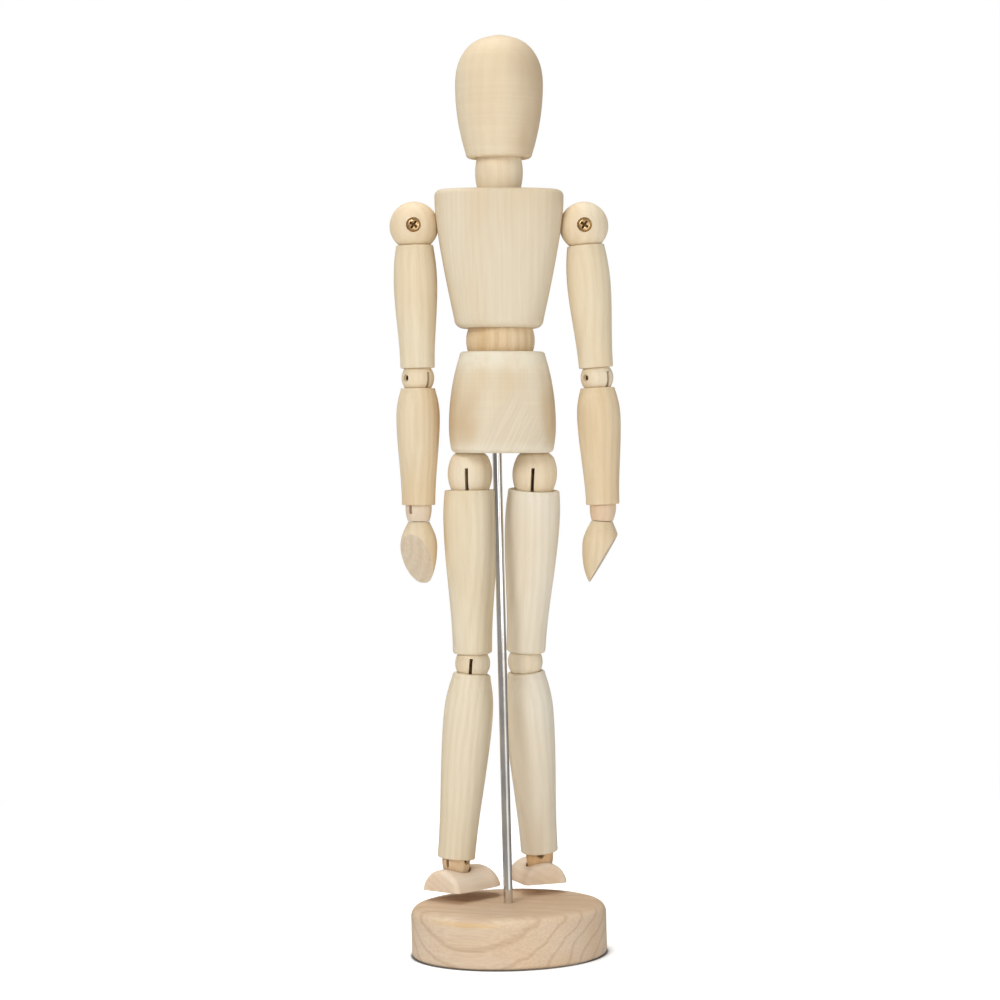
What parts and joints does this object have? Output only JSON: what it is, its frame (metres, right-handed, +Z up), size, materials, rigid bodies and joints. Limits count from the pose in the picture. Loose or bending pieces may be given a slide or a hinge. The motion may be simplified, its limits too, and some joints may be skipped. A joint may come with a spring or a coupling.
{
  "type": "jointed wooden drawing figure",
  "caption": "Wooden artist's mannequin with ball-jointed, spring-held limbs, held by a steel rod above a round wooden base, for posing as a drawing model.",
  "frame": {"origin": "middle of the base's underside, on the rod's axis", "axes": "+Z up along the rod; the figure faces -Y and its left side is towards +X"},
  "size_m": [0.0757, 0.0726, 0.3061],
  "materials": {
    "pale_wood": "bare sanded pale wood",
    "warm_wood": "bare turned wood, tanner",
    "base_wood": "bare sanded wood with clear grain",
    "rod_steel": "polished",
    "inner_steel": "drawn wire",
    "brass": "tumbled"
  },
  "bodies": {
    "base": {"base": "base_wood"},
    "rod": {"support_rod": "rod_steel"},
    "pelvis": {"pelvis": "pale_wood", "pelvis_cross_pin": "inner_steel", "hip_springs": "inner_steel"},
    "waist_ball": {"waist_ball": "warm_wood", "waist_fittings": "inner_steel"},
    "waist_eye": {"waist_eye": "inner_steel"},
    "chest": {"chest": "pale_wood", "chest_cross_pin": "inner_steel", "spine_spring": "inner_steel", "shoulder_spring": "inner_steel"},
    "neck_ball": {"neck_ball": "pale_wood", "neck_fittings": "inner_steel"},
    "head_eye": {"head_eye": "inner_steel"},
    "head": {"head": "pale_wood"},
    "right_shoulder_ball": {"right_shoulder_ball": "pale_wood", "right_shoulder_fittings": "brass"},
    "right_upper_arm": {"right_upper_arm": "pale_wood", "right_upper_arm_spring": "inner_steel"},
    "right_elbow_ball": {"right_elbow_ball": "pale_wood", "right_elbow_fittings": "inner_steel"},
    "right_forearm": {"right_forearm": "pale_wood", "right_forearm_spring": "inner_steel"},
    "right_wrist_ball": {"right_wrist_ball": "warm_wood", "right_wrist_pin": "inner_steel"},
    "right_hand": {"right_hand": "pale_wood"},
    "right_hip_ball": {"right_hip_ball": "pale_wood", "right_hip_fittings": "inner_steel"},
    "right_thigh": {"right_thigh": "pale_wood", "right_thigh_spring": "inner_steel"},
    "right_knee_ball": {"right_knee_ball": "pale_wood", "right_knee_fittings": "inner_steel"},
    "right_shin": {"right_shin": "pale_wood", "right_shin_spring": "inner_steel"},
    "right_ankle_ball": {"right_ankle_ball": "warm_wood", "right_ankle_pin": "inner_steel"},
    "right_foot": {"right_foot": "pale_wood"},
    "left_shoulder_ball": {"left_shoulder_ball": "pale_wood", "left_shoulder_fittings": "brass"},
    "left_upper_arm": {"left_upper_arm": "pale_wood", "left_upper_arm_spring": "inner_steel"},
    "left_elbow_ball": {"left_elbow_ball": "pale_wood", "left_elbow_fittings": "inner_steel"},
    "left_forearm": {"left_forearm": "pale_wood", "left_forearm_spring": "inner_steel"},
    "left_wrist_ball": {"left_wrist_ball": "warm_wood", "left_wrist_pin": "inner_steel"},
    "left_hand": {"left_hand": "pale_wood"},
    "left_hip_ball": {"left_hip_ball": "pale_wood", "left_hip_fittings": "inner_steel"},
    "left_thigh": {"left_thigh": "pale_wood", "left_thigh_spring": "inner_steel"},
    "left_knee_ball": {"left_knee_ball": "pale_wood", "left_knee_fittings": "inner_steel"},
    "left_shin": {"left_shin": "pale_wood", "left_shin_spring": "inner_steel"},
    "left_ankle_ball": {"left_ankle_ball": "warm_wood", "left_ankle_pin": "inner_steel"},
    "left_foot": {"left_foot": "pale_wood"}
  },
  "joints": [
    {"name": "stand_turn", "type": "hinge", "parent": "base", "child": "rod", "pos_m": [0, 0, 0], "axis": [0, 0, 1], "continuous": true},
    {"name": "stand_height", "type": "slide", "parent": "rod", "child": "pelvis", "axis": [0, 0, 1], "range_m": [0, 0.012]},
    {"name": "waist_turn", "type": "hinge", "parent": "pelvis", "child": "waist_ball", "pos_m": [0.0021, 0.009, 0.20422], "axis": [0.0253, 0, 0.9997], "range_deg": [-90, 90]},
    {"name": "waist_bend", "type": "hinge", "parent": "waist_ball", "child": "waist_eye", "pos_m": [0.0021, 0.009, 0.20422], "axis": [0.9997, 0, -0.0253], "range_deg": [-18, 24]},
    {"name": "chest_turn", "type": "hinge", "parent": "waist_eye", "child": "chest", "pos_m": [0.0021, 0.009, 0.20422], "axis": [0.0253, 0, 0.9997], "range_deg": [-90, 90]},
    {"name": "neck_turn", "type": "hinge", "parent": "chest", "child": "neck_ball", "pos_m": [0.00302, 0.009, 0.26032], "axis": [0.0253, 0, 0.9997], "range_deg": [-90, 90]},
    {"name": "head_nod", "type": "hinge", "parent": "neck_ball", "child": "head_eye", "pos_m": [0.00302, 0.009, 0.26032], "axis": [0.9997, 0, -0.0253], "range_deg": [-30, 35]},
    {"name": "head_turn", "type": "hinge", "parent": "head_eye", "child": "head", "pos_m": [0.00302, 0.009, 0.26032], "axis": [0.0253, 0, 0.9997], "range_deg": [-90, 90]},
    {"name": "right_shoulder_swing", "type": "hinge", "parent": "chest", "child": "right_shoulder_ball", "pos_m": [-0.02582, 0.009, 0.24314], "axis": [-0.9997, 0, 0.0253], "range_deg": [-90, 145]},
    {"name": "right_arm_raise", "type": "hinge", "parent": "right_shoulder_ball", "child": "right_upper_arm", "pos_m": [-0.02582, 0.009, 0.24314], "axis": [0, 1, 0], "range_deg": [0, 88]},
    {"name": "right_elbow_turn", "type": "hinge", "parent": "right_upper_arm", "child": "right_elbow_ball", "pos_m": [-0.02587, 0.009, 0.19234], "axis": [-0.0009, 0, -1], "range_deg": [-170, 170]},
    {"name": "right_elbow_bend", "type": "hinge", "parent": "right_elbow_ball", "child": "right_forearm", "pos_m": [-0.02587, 0.009, 0.19234], "axis": [0.7312, 0.682, -0.0147], "range_deg": [-2, 55]},
    {"name": "right_wrist_bend", "type": "hinge", "parent": "right_forearm", "child": "right_wrist_ball", "pos_m": [-0.02674, 0.009, 0.14895], "axis": [-0.7879, 0.6157, 0.0158], "range_deg": [-14, 34]},
    {"name": "right_hand_turn", "type": "hinge", "parent": "right_wrist_ball", "child": "right_hand", "pos_m": [-0.02674, 0.009, 0.14895], "axis": [-0.0201, 0, -0.9998], "range_deg": [-170, 170]},
    {"name": "right_hip_turn", "type": "hinge", "parent": "pelvis", "child": "right_hip_ball", "pos_m": [-0.00922, 0.009, 0.1599], "axis": [-0.0253, 0, -0.9997], "range_deg": [-80, 60]},
    {"name": "right_hip_bend", "type": "hinge", "parent": "right_hip_ball", "child": "right_thigh", "pos_m": [-0.00922, 0.009, 0.1599], "axis": [-0.9876, 0.1564, 0.0129], "range_deg": [-3, 70]},
    {"name": "right_knee_turn", "type": "hinge", "parent": "right_thigh", "child": "right_knee_ball", "pos_m": [-0.00997, 0.00955, 0.0962], "axis": [-0.0117, 0.0086, -0.9999], "range_deg": [-80, 80]},
    {"name": "right_knee_bend", "type": "hinge", "parent": "right_knee_ball", "child": "right_shin", "pos_m": [-0.00997, 0.00955, 0.0962], "axis": [0.9886, -0.1037, -0.1095], "range_deg": [-50, 55]},
    {"name": "right_ankle_bend", "type": "hinge", "parent": "right_shin", "child": "right_ankle_ball", "pos_m": [-0.01725, 0.01012, 0.03], "axis": [-0.7986, 0.6018, 0], "range_deg": [-10, 10]},
    {"name": "right_foot_turn", "type": "hinge", "parent": "right_ankle_ball", "child": "right_foot", "pos_m": [-0.01725, 0.01012, 0.03], "axis": [0, 0, -1], "range_deg": [-80, 80]},
    {"name": "left_shoulder_swing", "type": "hinge", "parent": "chest", "child": "left_shoulder_ball", "pos_m": [0.03096, 0.009, 0.24171], "axis": [-0.9997, 0, 0.0253], "range_deg": [-90, 145]},
    {"name": "left_arm_raise", "type": "hinge", "parent": "left_shoulder_ball", "child": "left_upper_arm", "pos_m": [0.03096, 0.009, 0.24171], "axis": [0, -1, 0], "range_deg": [0, 88]},
    {"name": "left_elbow_turn", "type": "hinge", "parent": "left_upper_arm", "child": "left_elbow_ball", "pos_m": [0.0341, 0.009, 0.191], "axis": [-0.0619, 0, 0.9981], "range_deg": [-170, 170]},
    {"name": "left_elbow_bend", "type": "hinge", "parent": "left_elbow_ball", "child": "left_forearm", "pos_m": [0.0341, 0.009, 0.191], "axis": [-0.7312, -0.682, -0.016], "range_deg": [-28, 55]},
    {"name": "left_wrist_bend", "type": "hinge", "parent": "left_forearm", "child": "left_wrist_ball", "pos_m": [0.03505, 0.009, 0.14761], "axis": [-0.1736, -0.9848, -0.0038], "range_deg": [-22, 40]},
    {"name": "left_hand_turn", "type": "hinge", "parent": "left_wrist_ball", "child": "left_hand", "pos_m": [0.03505, 0.009, 0.14761], "axis": [0.0812, -0.0182, 0.9965], "range_deg": [-170, 170]},
    {"name": "left_hip_turn", "type": "hinge", "parent": "pelvis", "child": "left_hip_ball", "pos_m": [0.01247, 0.009, 0.15935], "axis": [0.0253, 0, 0.9997], "range_deg": [-80, 12]},
    {"name": "left_hip_bend", "type": "hinge", "parent": "left_hip_ball", "child": "left_thigh", "pos_m": [0.01247, 0.009, 0.15935], "axis": [-0.9911, 0.1045, 0.0824], "range_deg": [-65, 4]},
    {"name": "left_knee_turn", "type": "hinge", "parent": "left_thigh", "child": "left_knee_ball", "pos_m": [0.00774, 0.01408, 0.09603], "axis": [0.0742, -0.0798, 0.994], "range_deg": [-60, 42]},
    {"name": "left_knee_bend", "type": "hinge", "parent": "left_knee_ball", "child": "left_shin", "pos_m": [0.00774, 0.01408, 0.09603], "axis": [0.9987, -0.0102, 0.049], "range_deg": [-9, 53]},
    {"name": "left_ankle_bend", "type": "hinge", "parent": "left_shin", "child": "left_ankle_ball", "pos_m": [0.01106, 0.02155, 0.02993], "axis": [-0.0349, 0.9994, 0], "range_deg": [-20, 28]},
    {"name": "left_foot_turn", "type": "hinge", "parent": "left_ankle_ball", "child": "left_foot", "pos_m": [0.01106, 0.02155, 0.02993], "axis": [0, 0, 1], "range_deg": [-73, 40]}
  ]
}
